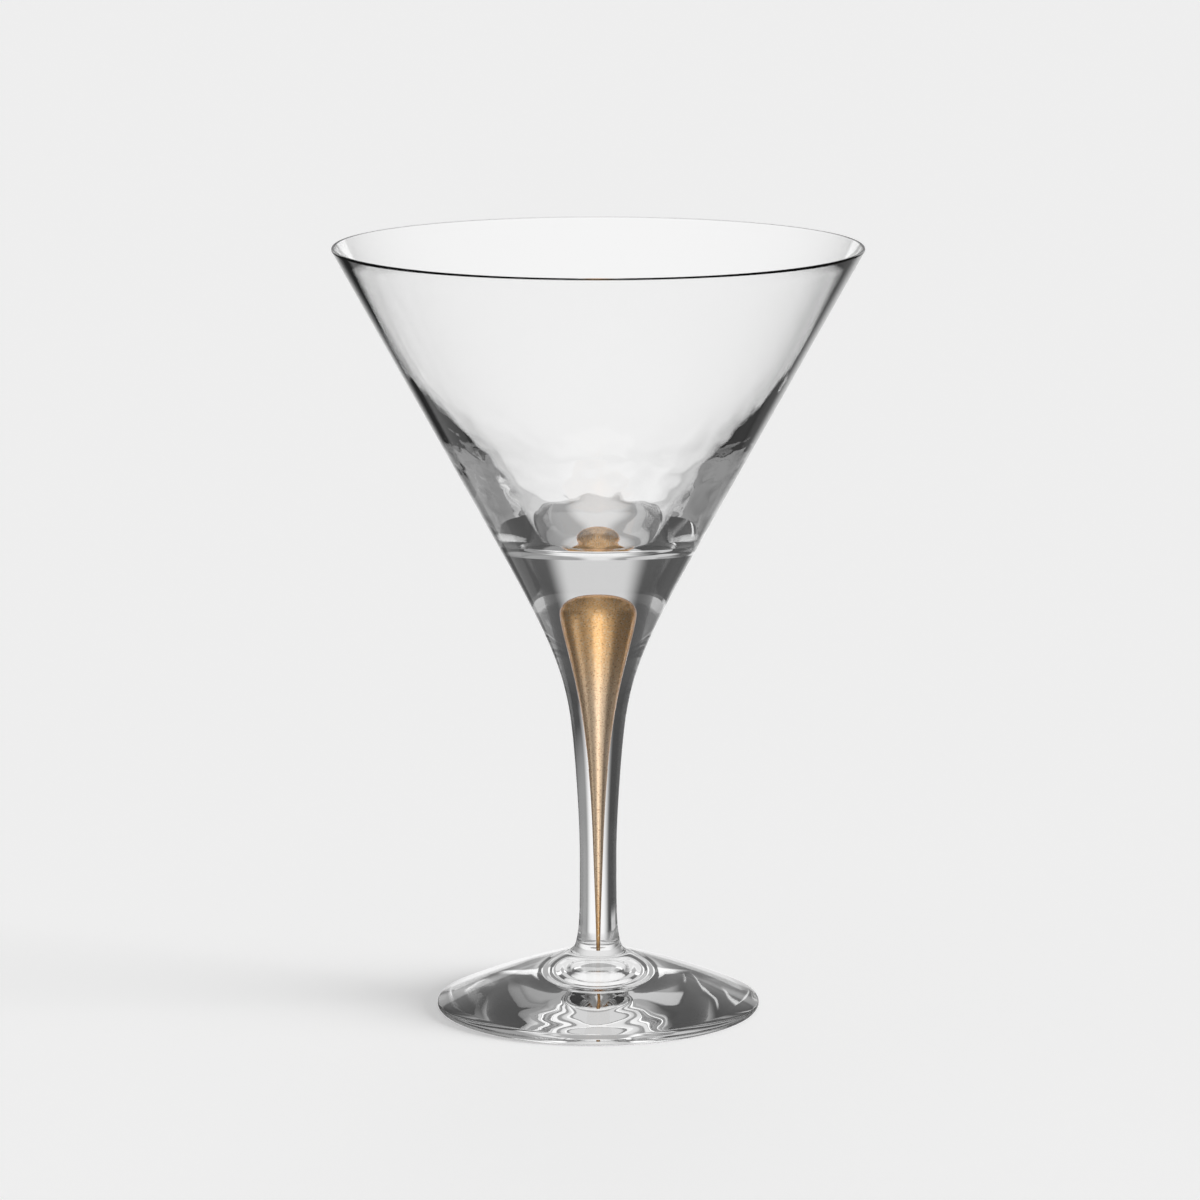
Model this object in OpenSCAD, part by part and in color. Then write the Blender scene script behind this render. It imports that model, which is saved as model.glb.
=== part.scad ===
// Martini glass, hot-joined from a conical bowl, a cased stem and a trumpet foot.
// A gilded drop with a fine drawn tail hangs inside the clear stem.
// Millimetres, +Z up, origin at the centre of the circle that the foot stands on.

/* [Bowl] */
// Overall height
height = 170; // [160:1:180]
// Outer diameter of the rim
rim_d = 116.2; // [110:0.2:122]
// Thickness of the thin upper wall
rim_wall = 0.8; // [0.8:0.1:1.4]
// Full angle of the outer cone
cone_angle = 57.8; // [56:0.2:60]
// Height at which the wall starts to thicken downwards
thicken_z = 138; // [134:1:150]
// Height of the low plateau at the bottom of the inside
floor_z = 108.3; // [107:0.1:110]
// Radius of that plateau, out to the foot of the sloping wall
floor_r = 16.5; // [15:0.1:18]
// How far the plateau falls away into the shallow groove round it
groove_h = 5.3; // [3:0.1:6]
// Depth of the faint dimple in the plateau's middle
dimple_h = 0.5; // [0.2:0.1:1]
// Height of the flat joint between the bowl and the stem
seam_z = 102; // [100:0.5:103.5]

/* [Stem] */
// Diameter of the stem at its waist
waist_d = 8.2; // [7.8:0.1:9]
// Diameter that the stem reaches under the flare
neck_d = 9.94; // [9.4:0.02:11]
// Softness of the curve from the stem into the cone
flare_blend = 4.08; // [3:0.02:5]
// Height of the joint between the stem and the foot
joint_z = 13.5; // [12.5:0.1:14.5]
// How far the stem's base spreads at that joint
base_flare = 1.15; // [0.8:0.05:1.5]

/* [Gilded drop] */
// Greatest diameter of the drop
drop_d = 11.3; // [9:0.1:11.8]
// Height of the drop's top
drop_z = 97.3; // [94:0.1:98]
// Distance from the drop's top down to its widest place
crown_h = 5.5; // [4:0.1:6]
// Length scale of the taper below the widest place
taper_l = 26; // [22:0.5:28]
// Diameter of the tail's fine stretch
tail_d = 0.9; // [0.8:0.05:1.2]
// Thickness of the gilded skin
leaf_t = 0.35; // [0.3:0.05:0.5]
// Height at which the skin and its core end and the solid tail starts
core_end_z = 54; // [50:1:60]
// Height of the tail's tip, inside the foot
tip_z = 11.6; // [11:0.1:12]

/* [Foot] */
// Diameter of the foot
foot_d = 71.8; // [68:0.2:76]
// Thickness of the foot's rounded edge
foot_edge = 1.4; // [1.2:0.1:2]
// Height of the wide hollow under the foot
hollow_h = 1.6; // [0.8:0.1:2]
// Height of the small dome pressed up under the middle of that hollow
punt_h = 2; // [0:0.1:2.5]
// Radius of the dome
punt_r = 6; // [5:0.1:8]
// Height of the fine rings round the dome
ring_h = 0.12; // [0:0.01:0.2]
// Width of the flat ring that the foot stands on
rest_w = 3.5; // [2:0.5:6]

/* [Hidden] */
$fn = 96;

glass = [0.80, 0.86, 0.88, 0.45];
gold = [0.80, 0.60, 0.33];
pale_gold = [0.85, 0.72, 0.50];
core_glass = [0.92, 0.88, 0.80, 0.6];

lean = cone_angle / 2;
bead_r = rim_wall / 2;
bead = [rim_d / 2 - bead_r, height - bead_r];
neck_bottom_z = 34;
neck_top_z = 64;
base_l = 3.3;
wall_blend = 1.2;
floor_blend = 1;
groove_power = 10;
dimple_r = 7;
crown_power = 2.25;
taper_power = 1.35;
tip_r = 0.25;
tip_l = 25;
edge_r = foot_edge / 2;
edge_lean = 24.5;
foot_bow = 0.00287;
hub_l = 0.8;
punt_power = 4;
ring_gap = 2.4;
ring_out_r = 13;

function soft_max(a, b, blend) = max(a, b) + blend * ln(1 + exp(-abs(a - b) / blend));
function ease(t) = let (u = max(0, min(1, t))) u * u * (3 - 2 * u);

// Heights or radii from one value to another in equal steps, both ends included
function steps(from, to, count) = [for (i = [0 : count]) from + (to - from) * i / count];

// Radius of the outer cone, before it blends into the stem
function cone_r(z) =
    bead[0] + bead_r * cos(lean) + (z - bead[1] + bead_r * sin(lean)) * tan(lean);

// Height of the thin wall's inner face at a radius
function wall_z(r) =
    bead[1] + bead_r * sin(lean) + (r - bead[0] + bead_r * cos(lean)) / tan(lean);
function wall_r(z) =
    bead[0] - bead_r * cos(lean) + (z - bead[1] - bead_r * sin(lean)) * tan(lean);

function stem_r(z) =
    waist_d / 2
    + (neck_d - waist_d) / 2 * ease((z - neck_bottom_z) / (neck_top_z - neck_bottom_z))
    + base_flare * exp((joint_z - z) / base_l);

// Outside of the bowl and the stem, one flowing line
function outer_r(z) = soft_max(cone_r(z), stem_r(z), flare_blend);

// Inside of the bowl: a low plateau, then a sloping wall that runs into the thin one
function side_z(r) =
    floor_z + (r - floor_r) * (thicken_z - floor_z) / (wall_r(thicken_z) - floor_r);
function plateau_z(r) =
    floor_z - groove_h * pow(r / floor_r, groove_power) - dimple_h * exp(-pow(r / dimple_r, 2));
function inside_z(r) =
    soft_max(soft_max(side_z(r), plateau_z(r), floor_blend), wall_z(r), wall_blend);

// Radius of the drop and its tail under the widest place, with a skin of the given depth taken off
widest_z = drop_z - crown_h;
function tail_r(z) = tip_r + (tail_d / 2 - tip_r) * ease((z - tip_z) / tip_l);
function taper_r(z) =
    tail_r(z) + (drop_d / 2 - tail_r(z)) * exp(-pow((widest_z - z) / taper_l, taper_power));

// The drop's outline from a lower height up to its top, inset by a depth
function drop_outline(from_z, inset, count) = concat(
    [for (z = steps(from_z, widest_z, count)) [taper_r(z) - inset, z]],
    [for (t = steps(0, 90, 12)) if (t > 0) [
        (drop_d / 2 - inset) * pow(cos(t), 2 / crown_power),
        widest_z + (crown_h - inset) * pow(sin(t), 2 / crown_power)
    ]]
);

// Wall of the space that the drop and its tail fill in the stem, and the outside of the drop's core
stem_cavity = concat(
    [for (z = steps(joint_z, core_end_z, 9)) [taper_r(z), z]],
    [for (p = drop_outline(core_end_z, 0, 12)) if (p[1] > core_end_z) p]
);
core_outline = drop_outline(core_end_z, leaf_t, 12);

// Top of the foot: it falls ever faster from the hub to the edge
foot_r = foot_d / 2;
edge_start = [foot_r - edge_r + edge_r * sin(edge_lean), edge_r + edge_r * cos(edge_lean)];
function foot_z(r) =
    let (run = edge_start[0] - r)
    edge_start[1] + run * tan(edge_lean) - foot_bow * run * run;
hub_r = outer_r(joint_z);
hub_rise = joint_z - foot_z(hub_r);
function hub_z(r) = foot_z(r) + hub_rise * exp((hub_r - r) / hub_l);

rest_r = foot_r - edge_r - rest_w;
function ring_z(r) = ring_h * cos(360 * r / ring_gap) * ease((r - 3) / 3) * ease((ring_out_r - r) / 3);
function hollow_z(r) =
    hollow_h * (1 - pow(r / rest_r, 2)) + punt_h * exp(-pow(r / punt_r, punt_power)) + ring_z(r);

module bowl() {
    color(glass)
    rotate_extrude()
    polygon(concat(
        [[0, seam_z]],
        [for (z = steps(seam_z, 125, 4)) [outer_r(z), z]],
        [for (a = steps(-lean, 180 - lean, 8)) bead + bead_r * [cos(a), sin(a)]],
        [for (r = steps(wall_r(bead[1] - 2), 42, 4)) [r, inside_z(r)]],
        [for (r = steps(40, 19, 12)) [r, inside_z(r)]],
        [for (r = steps(18, 12, 12)) [r, inside_z(r)]],
        [for (r = steps(11, 0, 9)) [r, inside_z(r)]]
    ));
}

module stem() {
    color(glass)
    rotate_extrude()
    polygon(concat(
        [for (z = steps(joint_z, 24, 7)) [outer_r(z), z]],
        [for (z = steps(30, seam_z, 25)) [outer_r(z), z]],
        [[0, seam_z]],
        [for (i = [len(stem_cavity) - 1 : -1 : 0]) stem_cavity[i]]
    ));
}

module foot() {
    color(glass)
    rotate_extrude()
    polygon(concat(
        [for (r = steps(0, 13.2, 33)) [r, hollow_z(r)]],
        [for (r = steps(15, rest_r, 6)) [r, hollow_z(r)]],
        [for (a = steps(-90, 90 - edge_lean, 8)) [foot_r - edge_r, edge_r] + edge_r * [cos(a), sin(a)]],
        [for (r = steps(32, 11, 7)) [r, hub_z(r)]],
        [for (r = [9.5, 8.5, 7.5, 6.8, 6.3, 5.9, 5.6, hub_r]) [r, hub_z(r)]],
        [[taper_r(joint_z), joint_z], [tip_r, tip_z], [0, tip_z]]
    ));
}

module gold_leaf() {
    color(gold)
    rotate_extrude()
    polygon(concat(
        drop_outline(core_end_z, 0, 12),
        [for (i = [len(core_outline) - 1 : -1 : 0]) core_outline[i]]
    ));
}

module drop_core() {
    color(core_glass)
    rotate_extrude()
    polygon(concat([[0, core_end_z]], core_outline));
}

module gold_tail() {
    color(pale_gold)
    rotate_extrude()
    polygon(concat(
        [[0, tip_z], [tip_r, tip_z]],
        [for (z = steps(joint_z, core_end_z, 9)) [taper_r(z), z]],
        [[0, core_end_z]]
    ));
}

bowl();
stem();
foot();
gold_leaf();
gold_tail();
drop_core();
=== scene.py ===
"""Martini glass: clear bowl, stem and foot round a gilded drop, on a pale floor in soft studio light.

Lengths are in metres, in the CAD part's own frame: +Z up, origin under the middle of the foot.
"""

import math

import bpy
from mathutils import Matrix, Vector, noise as solid_noise


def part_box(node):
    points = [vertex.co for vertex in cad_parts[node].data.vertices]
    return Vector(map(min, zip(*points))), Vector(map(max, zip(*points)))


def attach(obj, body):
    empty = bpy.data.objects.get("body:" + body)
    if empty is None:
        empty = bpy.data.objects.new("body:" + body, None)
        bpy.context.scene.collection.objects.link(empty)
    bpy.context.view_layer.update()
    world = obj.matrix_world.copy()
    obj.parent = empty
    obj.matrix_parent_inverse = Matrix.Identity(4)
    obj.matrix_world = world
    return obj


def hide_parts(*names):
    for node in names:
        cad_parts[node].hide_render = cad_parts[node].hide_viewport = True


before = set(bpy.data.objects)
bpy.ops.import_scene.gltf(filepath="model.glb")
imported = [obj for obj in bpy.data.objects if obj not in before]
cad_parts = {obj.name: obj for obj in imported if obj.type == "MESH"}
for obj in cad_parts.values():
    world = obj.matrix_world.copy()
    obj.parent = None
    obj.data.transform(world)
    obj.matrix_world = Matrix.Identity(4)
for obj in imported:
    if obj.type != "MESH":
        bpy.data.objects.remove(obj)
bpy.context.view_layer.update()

MM = 0.001


# ---------------------------------------------------------------- profiles, in millimetres

HEIGHT = 170.0
RIM_R = 58.1
RIM_WALL = 0.8
LEAN = math.radians(57.8 / 2)
FLOOR_Z = 108.3
FLOOR_R = 16.5
GROOVE_H = 5.3
GROOVE_POWER = 10.0
DIMPLE_H = 0.5
DIMPLE_R = 7.0
FLOOR_BLEND = 1.0
THICKEN_Z = 138.0
SEAM_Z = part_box("stem")[1].z / MM
JOINT_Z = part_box("stem")[0].z / MM
WAIST_R = 4.1
NECK_R = 4.97
FLARE_BLEND = 4.08
NECK_BOTTOM_Z = 34.0
NECK_TOP_Z = 64.0
BASE_FLARE = 1.15
BASE_L = 3.3
WALL_BLEND = 1.2
DROP_R = 5.65
DROP_Z = 97.3
CROWN_H = 5.5
CROWN_POWER = 2.25
TAPER_L = 26.0
TAPER_POWER = 1.35
TAIL_R = 0.45
TIP_R = 0.25
TIP_L = 25.0
TIP_Z = 11.6
LEAF_T = 0.35
CORE_END_Z = 54.0
FOOT_R = 35.9
FOOT_EDGE_R = 0.7
EDGE_LEAN = math.radians(24.5)
FOOT_BOW = 0.00287
HUB_L = 0.8
HOLLOW_H = 1.6
PUNT_H = 2.0
PUNT_R = 6.0
PUNT_POWER = 4.0
RING_H = 0.12
RING_GAP = 2.4
RING_R = 13.0
RING_FADE = 3.0
REST_W = 3.5
SKIN_GAP = 0.02

ARC_STEPS = 12
CROWN_STEPS = 24

BEAD_R = RIM_WALL / 2
BEAD = (RIM_R - BEAD_R, HEIGHT - BEAD_R)
WIDEST_Z = DROP_Z - CROWN_H


def soft_max(a, b, blend):
    return max(a, b) + blend * math.log1p(math.exp(-abs(a - b) / blend))


def ease(t):
    t = min(max(t, 0.0), 1.0)
    return t * t * (3 - 2 * t)


def steps(start, end, count):
    return [start + (end - start) * i / count for i in range(count + 1)]


def arc(centre, radius, start, end):
    """Points round a centre, from one angle to another."""
    return [
        (centre[0] + radius * math.cos(a), centre[1] + radius * math.sin(a))
        for a in steps(start, end, ARC_STEPS)
    ]


def cone_r(z):
    return BEAD[0] + BEAD_R * math.cos(LEAN) + (z - BEAD[1] + BEAD_R * math.sin(LEAN)) * math.tan(LEAN)


def wall_z(r):
    return BEAD[1] + BEAD_R * math.sin(LEAN) + (r - BEAD[0] + BEAD_R * math.cos(LEAN)) / math.tan(LEAN)


def wall_r(z):
    return BEAD[0] - BEAD_R * math.cos(LEAN) + (z - BEAD[1] - BEAD_R * math.sin(LEAN)) * math.tan(LEAN)


def stem_r(z):
    swell = ease((z - NECK_BOTTOM_Z) / (NECK_TOP_Z - NECK_BOTTOM_Z))
    return WAIST_R + (NECK_R - WAIST_R) * swell + BASE_FLARE * math.exp((JOINT_Z - z) / BASE_L)


def outer_r(z):
    return soft_max(cone_r(z), stem_r(z), FLARE_BLEND)


def side_z(r):
    run = wall_r(THICKEN_Z) - FLOOR_R
    return FLOOR_Z + (r - FLOOR_R) * (THICKEN_Z - FLOOR_Z) / run


def inside_z(r):
    dimple = DIMPLE_H * math.exp(-(r / DIMPLE_R) ** 2)
    floor = FLOOR_Z - GROOVE_H * (r / FLOOR_R) ** GROOVE_POWER - dimple
    return soft_max(soft_max(side_z(r), floor, FLOOR_BLEND), wall_z(r), WALL_BLEND)


def tail_r(z):
    return TIP_R + (TAIL_R - TIP_R) * ease((z - TIP_Z) / TIP_L)


def taper_r(z):
    fall = math.exp(-(max(WIDEST_Z - z, 0.0) / TAPER_L) ** TAPER_POWER)
    return tail_r(z) + (DROP_R - tail_r(z)) * fall


def drop_outline(from_z, inset, count):
    side = [(taper_r(z) - inset, z) for z in steps(from_z, WIDEST_Z, count)]
    crown = []
    for t in steps(0, math.pi / 2, CROWN_STEPS)[1:]:
        crown.append((
            (DROP_R - inset) * max(math.cos(t), 0.0) ** (2 / CROWN_POWER),
            WIDEST_Z + (CROWN_H - inset) * math.sin(t) ** (2 / CROWN_POWER),
        ))
    crown[-1] = (0.0, crown[-1][1])
    return side + crown


EDGE_START = (
    FOOT_R - FOOT_EDGE_R + FOOT_EDGE_R * math.sin(EDGE_LEAN),
    FOOT_EDGE_R + FOOT_EDGE_R * math.cos(EDGE_LEAN),
)


def foot_z(r):
    run = EDGE_START[0] - r
    return EDGE_START[1] + run * math.tan(EDGE_LEAN) - FOOT_BOW * run * run


HUB_R = outer_r(JOINT_Z)
HUB_RISE = JOINT_Z - foot_z(HUB_R)


def hub_z(r):
    return foot_z(r) + HUB_RISE * math.exp((HUB_R - r) / HUB_L)


REST_R = FOOT_R - FOOT_EDGE_R - REST_W


def hollow_z(r):
    share = ease((r - RING_FADE) / RING_FADE) * ease((RING_R - r) / RING_FADE)
    rings = RING_H * math.cos(2 * math.pi * r / RING_GAP) * share
    return HOLLOW_H * (1 - (r / REST_R) ** 2) + PUNT_H * math.exp(-(r / PUNT_R) ** PUNT_POWER) + rings


# ---------------------------------------------------------------- meshes

SEGMENTS = 192
SHARP_ANGLE = math.radians(28)
AXIS_R = 1e-6


def lathe(name, outline, materials, closed=False):
    """A closed solid turned from (radius mm, height mm, material number) points.

    The points run from the bottom outwards. A point's material goes on the strip up to the next point. With
    closed, the last point joins the first, as in a shell.
    """
    verts = []
    rings = []
    for r, z, _ in outline:
        if r < AXIS_R:
            rings.append([len(verts)])
            verts.append((0.0, 0.0, z * MM))
        else:
            rings.append(range(len(verts), len(verts) + SEGMENTS))
            for i in range(SEGMENTS):
                a = 2 * math.pi * i / SEGMENTS
                verts.append((r * math.cos(a) * MM, r * math.sin(a) * MM, z * MM))
    faces = []
    slots = []
    for k in range(len(rings) if closed else len(rings) - 1):
        low, high = rings[k], rings[(k + 1) % len(rings)]
        if len(low) == 1 and len(high) == 1:
            continue
        for i in range(SEGMENTS):
            j = (i + 1) % SEGMENTS
            if len(low) == 1:
                faces.append((low[0], high[j], high[i]))
            elif len(high) == 1:
                faces.append((low[i], low[j], high[0]))
            else:
                faces.append((low[i], low[j], high[j], high[i]))
            slots.append(outline[k][2])
    mesh = bpy.data.meshes.new(name)
    mesh.from_pydata(verts, [], faces)
    for material in materials:
        mesh.materials.append(material)
    mesh.polygons.foreach_set("material_index", slots)
    mesh.shade_smooth()
    mesh.set_sharp_from_angle(angle=SHARP_ANGLE)
    mesh.update()
    obj = bpy.data.objects.new(name, mesh)
    bpy.context.scene.collection.objects.link(obj)
    return obj


def ripple(piece, grain, depth, share):
    """Moves the surface in and out by a smooth random depth, as hot hand work leaves it.

    share(r, z) says how much of the depth a place gets, from 0 to 1.
    """
    normals = [vert.normal.copy() for vert in piece.data.vertices]
    for vert, normal in zip(piece.data.vertices, normals):
        spot = vert.co / MM
        part = share(math.hypot(spot.x, spot.y), spot.z)
        if part > 0:
            vert.co += normal * (depth * part * solid_noise.noise(spot / grain) * MM)
    piece.data.update()


# The ripples run over the inside of the bowl's thickening wall, the leaf but for the middle of its crown and its
# lower end, and the foot between the hub and the standing ring
CUP_WAVE_Z = (114.0, 148.0)
CUP_WAVE_FADE = (3.0, 6.0)
CUP_SKIN = 0.5
LEAF_CROWN_R = 0.2
LEAF_END = 0.5
LEAF_FADE = 3.0
FOOT_WAVE_R = (8.0, 30.0)
FOOT_WAVE_FADE = 4.0


def cup_share(r, z):
    inside = r < outer_r(z) - CUP_SKIN
    return inside * ease((z - CUP_WAVE_Z[0]) / CUP_WAVE_FADE[0]) * ease((CUP_WAVE_Z[1] - z) / CUP_WAVE_FADE[1])


def leaf_share(r, z):
    return (r > LEAF_CROWN_R) * ease((z - CORE_END_Z - LEAF_END) / LEAF_FADE)


def foot_share(r, z):
    return ease((r - FOOT_WAVE_R[0]) / FOOT_WAVE_FADE) * ease((FOOT_WAVE_R[1] - r) / FOOT_WAVE_FADE)


# Material numbers in an outline: the piece's own surface, and the faces where pieces are fused
OUT, JOIN = 0, 1


def points(pairs, slot):
    return [(r, z, slot) for r, z in pairs]


# ---------------------------------------------------------------- materials


WHITE = (1.0, 1.0, 1.0)
GLASS_IOR = 1.5


def new_material(name):
    material = bpy.data.materials.new(name)
    material.use_nodes = True
    material.node_tree.nodes.clear()
    return material, material.node_tree.nodes, material.node_tree.links


def math_node(nodes, links, operation, a, b=None, c=None):
    node = nodes.new("ShaderNodeMath")
    node.operation = operation
    for i, value in enumerate((a, b, c)):
        if value is None:
            continue
        if isinstance(value, (int, float)):
            node.inputs[i].default_value = value
        else:
            links.new(value, node.inputs[i])
    return node.outputs[0]


def smooth_step(nodes, links, value, low, high, to_low, to_high):
    node = nodes.new("ShaderNodeMapRange")
    node.interpolation_type = "SMOOTHSTEP"
    links.new(value, node.inputs["Value"])
    node.inputs["From Min"].default_value = low
    node.inputs["From Max"].default_value = high
    node.inputs["To Min"].default_value = to_low
    node.inputs["To Max"].default_value = to_high
    return node.outputs["Result"]


def clear_glass(name, shade, tint=WHITE):
    """Glass that bends light, and lets the share called shade of a lamp's light through each face."""
    material, nodes, links = new_material(name)
    glass = nodes.new("ShaderNodeBsdfGlass")
    glass.inputs["Color"].default_value = (*tint, 1)
    glass.inputs["Roughness"].default_value = 0.0
    glass.inputs["IOR"].default_value = GLASS_IOR
    passing = nodes.new("ShaderNodeBsdfTransparent")
    passing.inputs["Color"].default_value = (shade, shade, shade, 1)
    path = nodes.new("ShaderNodeLightPath")
    mix = nodes.new("ShaderNodeMixShader")
    out = nodes.new("ShaderNodeOutputMaterial")
    links.new(path.outputs["Is Shadow Ray"], mix.inputs["Fac"])
    links.new(glass.outputs[0], mix.inputs[1])
    links.new(passing.outputs[0], mix.inputs[2])
    links.new(mix.outputs[0], out.inputs["Surface"])
    return material


def joined_face(name):
    """A face where two pieces are fused, which light crosses unchanged."""
    material, nodes, links = new_material(name)
    passing = nodes.new("ShaderNodeBsdfTransparent")
    out = nodes.new("ShaderNodeOutputMaterial")
    links.new(passing.outputs[0], out.inputs["Surface"])
    return material


def object_place(nodes, links):
    coord = nodes.new("ShaderNodeTexCoord")
    split = nodes.new("ShaderNodeSeparateXYZ")
    links.new(coord.outputs["Object"], split.inputs[0])
    return coord.outputs["Object"], split.outputs["Z"]


def blend_colours(nodes, links, factor, first, second):
    mix = nodes.new("ShaderNodeMix")
    mix.data_type = "RGBA"
    links.new(factor, mix.inputs["Factor"])
    for socket, colour in ((mix.inputs[6], first), (mix.inputs[7], second)):
        if isinstance(colour, tuple):
            socket.default_value = (*colour, 1)
        else:
            links.new(colour, socket)
    return mix.outputs[2]


def noise(nodes, links, vector, grain_mm, detail, roughness):
    node = nodes.new("ShaderNodeTexNoise")
    links.new(vector, node.inputs["Vector"])
    node.inputs["Scale"].default_value = 1 / (grain_mm * MM)
    node.inputs["Detail"].default_value = detail
    node.inputs["Roughness"].default_value = roughness
    return node.outputs["Fac"]


def gold_metal(name, low_z, high_z, low_colour, high_colour):
    """Satin gold that turns from one colour to another between two heights, with fine lighter specks on the
    leaf's grain that are painted glints, and fine darker flecks.
    """
    material, nodes, links = new_material(name)
    where, height = object_place(nodes, links)
    rise = smooth_step(nodes, links, height, low_z * MM, high_z * MM, 0.0, 1.0)
    colour = blend_colours(nodes, links, rise, low_colour, high_colour)
    # Lighter specks at random over the leaf's grain: painted glints
    painted_glints = noise(nodes, links, where, PAINTED_GLINT_GRAIN, detail=3.0, roughness=0.7)
    painted_glints = smooth_step(nodes, links, painted_glints, *PAINTED_GLINT_EDGES, 0.0, PAINTED_GLINT_SHARE)
    colour = blend_colours(nodes, links, painted_glints, colour, PAINTED_GLINT_COLOUR)
    # Darker flecks at random over the leaf
    dark_flecks = noise(nodes, links, where, DARK_FLECK_GRAIN, detail=2.0, roughness=0.5)
    dark_flecks = smooth_step(nodes, links, dark_flecks, *DARK_FLECK_EDGES, 0.0, DARK_FLECK_SHARE)
    colour = blend_colours(nodes, links, dark_flecks, colour, DARK_FLECK_COLOUR)
    metal = nodes.new("ShaderNodeBsdfPrincipled")
    metal.inputs["Metallic"].default_value = 1
    metal.inputs["Roughness"].default_value = GOLD_ROUGHNESS
    metal.inputs["Specular Tint"].default_value = (*GOLD_EDGE, 1)
    metal.inputs["Coat Weight"].default_value = 1.0
    metal.inputs["Coat Roughness"].default_value = COAT_ROUGHNESS
    metal.inputs["Coat IOR"].default_value = COAT_IOR
    links.new(colour, metal.inputs["Base Color"])
    out = nodes.new("ShaderNodeOutputMaterial")
    links.new(metal.outputs[0], out.inputs["Surface"])
    return material


WAVE = 0.06
WAVE_GRAIN = 3.5
FOOT_WAVE = 0.045
FOOT_WAVE_GRAIN = 7.0
CRUMPLE = 0.02
CRUMPLE_GRAIN = 0.55

# Grain sizes are in millimetres. The edges are the noise values between which a painted glint speck or a darker
# fleck sets in.
LEAF_LOW_COLOUR = (0.95, 0.71, 0.48)
LEAF_HIGH_COLOUR = (0.98, 0.58, 0.24)
LEAF_TURN_Z = (66, 88)
TAIL_TIP_COLOUR = (0.80, 0.45, 0.17)
TAIL_TURN_Z = (14, 34)
GOLD_EDGE = (0.40, 0.20, 0.07)
GOLD_ROUGHNESS = 0.34
COAT_ROUGHNESS = 0.05
COAT_IOR = 1.33
# The lighter specks are painted glints, spread at random like the leaf's grain
PAINTED_GLINT_COLOUR = (1.0, 0.80, 0.54)
PAINTED_GLINT_GRAIN = 0.40
PAINTED_GLINT_EDGES = (0.52, 0.62)
PAINTED_GLINT_SHARE = 0.8
# Darker flecks, spread at random over the leaf
DARK_FLECK_COLOUR = (0.42, 0.19, 0.06)
DARK_FLECK_GRAIN = 0.30
DARK_FLECK_EDGES = (0.55, 0.66)
DARK_FLECK_SHARE = 0.6

CORE_TINT = (0.97, 0.94, 0.88)
CLEAR_SHADE = 0.8
FOOT_SHADE = 0.0
GLASS = clear_glass("clear_glass", shade=CLEAR_SHADE)
FOOT_GLASS = clear_glass("foot_glass", shade=FOOT_SHADE)
CORE = clear_glass("core_glass", shade=CLEAR_SHADE, tint=CORE_TINT)
JOINED = joined_face("joined_glass")
LEAF = gold_metal("gold_leaf", *LEAF_TURN_Z, LEAF_LOW_COLOUR, LEAF_HIGH_COLOUR)
TAIL = gold_metal("gold_tail", *TAIL_TURN_Z, TAIL_TIP_COLOUR, LEAF_LOW_COLOUR)

# ---------------------------------------------------------------- pieces

# Where an outline's points change their spacing. Above STRAIGHT_Z the outer cone is straight.
STRAIGHT_Z = 135
WALL_START_R = wall_r(BEAD[1] - 2)
WALL_END_R = 36
SIDE_START_R = 35
FOOT_START_R = 34.5
FOOT_END_R = 10.5
HUB_START_R = 10
TIP_RUN = 0.5
CORE_RUN = 1

bowl_outline = (
    points([(0, SEAM_Z)], JOIN)
    + points([(outer_r(z), z) for z in steps(SEAM_Z, STRAIGHT_Z, 12)], OUT)
    + points(arc(BEAD, BEAD_R, -LEAN, math.pi - LEAN), OUT)
    + points([(r, inside_z(r)) for r in steps(WALL_START_R, WALL_END_R, 16)], OUT)
    + points([(r, inside_z(r)) for r in steps(SIDE_START_R, 0, 50)], OUT)
)
bowl = lathe("bowl_cup", bowl_outline, [GLASS, JOINED])
ripple(bowl, WAVE_GRAIN, WAVE, cup_share)

cavity = [(taper_r(z), z) for z in steps(JOINT_Z, CORE_END_Z, 30)]
cavity += [p for p in drop_outline(CORE_END_Z, 0, 40) if p[1] > CORE_END_Z]
stem_outline = (
    points([(outer_r(z), z) for z in steps(JOINT_Z, SEAM_Z, 90)[:-1]], OUT)
    + points([(outer_r(SEAM_Z), SEAM_Z), (0, SEAM_Z)], JOIN)
    + points(cavity[::-1], JOIN)
    + points([(outer_r(JOINT_Z), JOINT_Z)], JOIN)
)
stem = lathe("stem_casing", stem_outline, [GLASS, JOINED])

foot_outline = (
    points([(r, hollow_z(r)) for r in steps(0, REST_R, 60)], OUT)
    + points(arc((FOOT_R - FOOT_EDGE_R, FOOT_EDGE_R), FOOT_EDGE_R, -math.pi / 2, math.pi / 2 - EDGE_LEAN), OUT)
    + points([(r, hub_z(r)) for r in steps(FOOT_START_R, FOOT_END_R, 24)], OUT)
    + points([(r, hub_z(r)) for r in steps(HUB_START_R, HUB_R, 20)[:-1]], OUT)
    + points([(HUB_R, JOINT_Z), (taper_r(JOINT_Z), JOINT_Z), (TIP_R, TIP_Z), (0, TIP_Z)], JOIN)
)
foot = lathe("foot_disc", foot_outline, [FOOT_GLASS, JOINED])
ripple(foot, FOOT_WAVE_GRAIN, FOOT_WAVE, foot_share)

leaf_face = [(r - SKIN_GAP - CRUMPLE, z) for r, z in drop_outline(CORE_END_Z, SKIN_GAP, 200)]
leaf_face[-1] = (0.0, leaf_face[-1][1])
leaf_back = drop_outline(CORE_END_Z, LEAF_T, 60)
leaf = lathe("gold_leaf_skin", points(leaf_back[::-1] + leaf_face, OUT), [LEAF], closed=True)
ripple(leaf, CRUMPLE_GRAIN, CRUMPLE, leaf_share)

core_outline = [(max(r - SKIN_GAP, 0), z - SKIN_GAP) for r, z in leaf_back if z > CORE_END_Z + CORE_RUN]
core_outline = [(0, CORE_END_Z), (core_outline[0][0], CORE_END_Z)] + core_outline
core = lathe("clear_drop_core", points(core_outline, OUT), [CORE])

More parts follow.
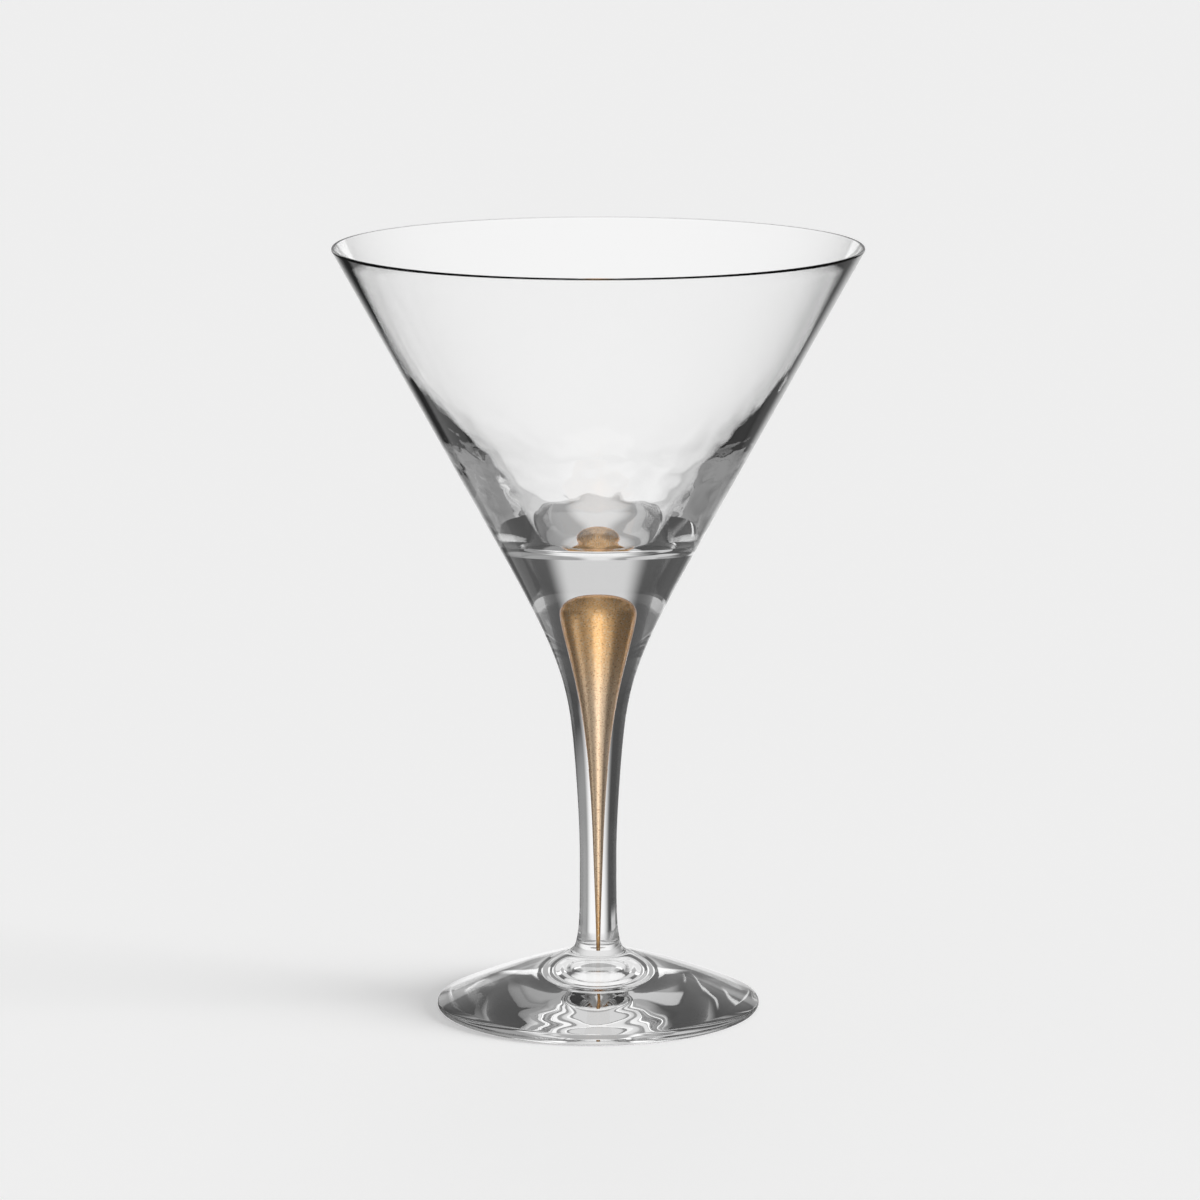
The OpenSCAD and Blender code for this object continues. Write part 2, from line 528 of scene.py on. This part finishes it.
tail_outline = [(0, TIP_Z + SKIN_GAP), (TIP_R, TIP_Z + SKIN_GAP)]
tail_outline += [(taper_r(z) - SKIN_GAP, z) for z in steps(TIP_Z + TIP_RUN, CORE_END_Z - SKIN_GAP, 60)]
tail_outline += [(0, CORE_END_Z - SKIN_GAP)]
tail = lathe("gold_tail_thread", points(tail_outline, OUT), [TAIL])

PIECES = [
    (bowl, "bowl", "bowl_glass"),
    (stem, "stem", "stem_glass"),
    (foot, "foot", "foot_glass"),
    (leaf, "gold_leaf", "gold_leaf"),
    (tail, "gold_tail", "gold_tail"),
    (core, "drop_core", "core_glass"),
]
for piece, node, slot in PIECES:
    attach(piece, "root")
    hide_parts(node)


# ---------------------------------------------------------------- floor, light and camera

# PALE is the background that the camera sees, and DARK the studio between the panels
PALE = 0.847
DARK = 0.06
FLOOR_COLOUR = (0.8, 0.8, 0.8)
FLOOR_GLOW = 0.40
FLOOR_HALF = 30.0
FLOOR_DROP = 0.0001
KEY_TOWARD = (0.92, -0.20, 0.16)
KEY_STRENGTH = 6.5
KEY_ANGLE = 30.0

# Soft lamps that light the gilding alone, since the glass round it blocks the key: azimuth and elevation in
# degrees, strength, and angular size in degrees
GOLD_LIGHTS = [
    ("gold_highlight", 177, -16, 0.8, 24),
    ("gold_front", 186, -20, 2.2, 80),
    ("gold_top", 178, 45, 1.6, 60),
    ("gold_left", -115, -5, 0.7, 60),
    ("gold_right", 115, -5, 0.7, 60),
]

# What the glass bends to and mirrors is soft panels in a dark studio. Each has a middle azimuth (from +Y towards
# +X), a half width and a side fade, a lower and an upper elevation and their fade, all in degrees, and its
# brightness.
PANELS = {
    "backdrop_low": (3, 12, 18, -30, -1, 6, 0.98),
    "backdrop_high": (1, 13, 14, 20, 100, 5, 0.66),
    "backdrop_middle": (1, 13, 14, -100, 16, 5, 0.42),
    "table": (0, 360, 1, -100, -36, 16, 0.36),
    "forward_table": (0, 8, 34, -100, -34, 8, 0.80),
    "right_side": (42, 18, 20, -26, -8, 6, 0.30),
    "ceiling": (0, 360, 1, 60, 100, 20, 0.24),
    "room_behind": (180, 30, 50, -100, 26, 12, 0.28),
    "front_table": (178, 20, 25, -45, -6, 6, 0.5),
    "left_shoulder": (-18, 5, 4, 6, 16, 4, 1.2),
    "right_shoulder": (20, 5, 4, 6, 16, 4, 1.2),
    "left_backdrop": (-45, 9, 6, -60, -19, 4, 0.6),
    "right_backdrop": (-90, 10, 8, -12, 4, 5, 0.95),
    "far_backdrop": (135, 10, 8, -22, -8, 5, 0.95),
}


def make_floor():
    mesh = bpy.data.meshes.new("floor")
    corners = [(x * FLOOR_HALF, y * FLOOR_HALF, 0) for x, y in ((-1, -1), (1, -1), (1, 1), (-1, 1))]
    mesh.from_pydata(corners, [], [(0, 1, 2, 3)])
    floor = bpy.data.objects.new("floor", mesh)
    bpy.context.scene.collection.objects.link(floor)
    floor.location.z = -FLOOR_DROP
    material, nodes, links = new_material("pale_floor")
    diffuse = nodes.new("ShaderNodeBsdfDiffuse")
    diffuse.inputs["Color"].default_value = (*FLOOR_COLOUR, 1)
    glow = nodes.new("ShaderNodeEmission")
    glow.inputs["Color"].default_value = (*WHITE, 1)
    glow.inputs["Strength"].default_value = FLOOR_GLOW
    add = nodes.new("ShaderNodeAddShader")
    out = nodes.new("ShaderNodeOutputMaterial")
    links.new(diffuse.outputs[0], add.inputs[0])
    links.new(glow.outputs[0], add.inputs[1])
    links.new(add.outputs[0], out.inputs["Surface"])
    mesh.materials.append(material)
    floor.visible_transmission = False
    floor.visible_glossy = False
    floor.visible_shadow = False


def make_world():
    """Pale all round to the camera. What the glass bends to and mirrors is a dark studio with the soft panels."""
    world = bpy.data.worlds.new("studio")
    bpy.context.scene.world = world
    world.use_nodes = True
    nodes, links = world.node_tree.nodes, world.node_tree.links
    nodes.clear()
    coord = nodes.new("ShaderNodeTexCoord")
    split = nodes.new("ShaderNodeSeparateXYZ")
    links.new(coord.outputs["Generated"], split.inputs[0])
    x, y, z = split.outputs
    degree = 180 / math.pi
    azimuth = math_node(nodes, links, "MULTIPLY", math_node(nodes, links, "ARCTAN2", x, y), degree)
    up = math_node(nodes, links, "MULTIPLY", math_node(nodes, links, "ARCSINE", z), degree)
    light = DARK
    for middle, half, fade, low, high, ends, level in PANELS.values():
        turned = math_node(nodes, links, "SUBTRACT", azimuth, float(middle))
        turned = math_node(nodes, links, "WRAP", turned, 180.0, -180.0)
        off = math_node(nodes, links, "ABSOLUTE", turned)
        across = smooth_step(nodes, links, off, half, half + fade, level - DARK, 0.0)
        bottom = smooth_step(nodes, links, up, low - ends, low, 0.0, 1.0)
        top = smooth_step(nodes, links, up, high, high + ends, 1.0, 0.0)
        panel = math_node(nodes, links, "MULTIPLY", across, math_node(nodes, links, "MULTIPLY", bottom, top))
        light = math_node(nodes, links, "MAXIMUM", light, math_node(nodes, links, "ADD", panel, DARK))
    path = nodes.new("ShaderNodeLightPath")
    mix = nodes.new("ShaderNodeMix")
    mix.data_type = "FLOAT"
    links.new(path.outputs["Is Camera Ray"], mix.inputs["Factor"])
    links.new(light, mix.inputs[2])
    mix.inputs[3].default_value = PALE
    background = nodes.new("ShaderNodeBackground")
    background.inputs["Color"].default_value = (*WHITE, 1)
    links.new(mix.outputs[0], background.inputs["Strength"])
    out = nodes.new("ShaderNodeOutputWorld")
    links.new(background.outputs[0], out.inputs["Surface"])


def add_sun(name, toward, strength, angle):
    light = bpy.data.lights.new(name, "SUN")
    light.energy = strength
    light.angle = math.radians(angle)
    obj = bpy.data.objects.new(name, light)
    bpy.context.scene.collection.objects.link(obj)
    obj.rotation_euler = Vector(toward).to_track_quat("Z", "Y").to_euler()
    return obj


def toward(azimuth, elevation):
    """A direction from an azimuth (from +Y towards +X) and an elevation, in degrees."""
    a, e = math.radians(azimuth), math.radians(elevation)
    return (math.sin(a) * math.cos(e), math.cos(a) * math.cos(e), math.sin(e))


make_floor()
make_world()

key = add_sun("key", KEY_TOWARD, KEY_STRENGTH, KEY_ANGLE)
key.visible_glossy = False
key.visible_transmission = False

gilding = bpy.data.collections.new("gilding")
gilding.objects.link(leaf)
gilding.objects.link(tail)
for name, azimuth, elevation, strength, angle in GOLD_LIGHTS:
    lamp = add_sun(name, toward(azimuth, elevation), strength, angle)
    lamp.light_linking.receiver_collection = gilding

# The camera's place in metres, how far it looks down in degrees, and its lens and sensor in millimetres
CAMERA_PLACE = (0.0004, -1.150, 0.3042)
CAMERA_DOWN = 10.47
LENS = 159.3
SENSOR = 36

camera_data = bpy.data.cameras.new("camera")
camera_data.lens = LENS
camera_data.sensor_width = SENSOR
camera = bpy.data.objects.new("camera", camera_data)
camera.location = CAMERA_PLACE
camera.rotation_euler = (math.radians(90 - CAMERA_DOWN), 0, 0)
bpy.context.scene.collection.objects.link(camera)
bpy.context.scene.camera = camera

# Light crosses many faces in the thick glass
GLASS_BOUNCES = 24
GLOSSY_BOUNCES = 12

scene = bpy.context.scene
scene.view_settings.view_transform = "Standard"
scene.cycles.max_bounces = GLASS_BOUNCES
scene.cycles.transmission_bounces = GLASS_BOUNCES
scene.cycles.transparent_max_bounces = GLASS_BOUNCES
scene.cycles.glossy_bounces = GLOSSY_BOUNCES
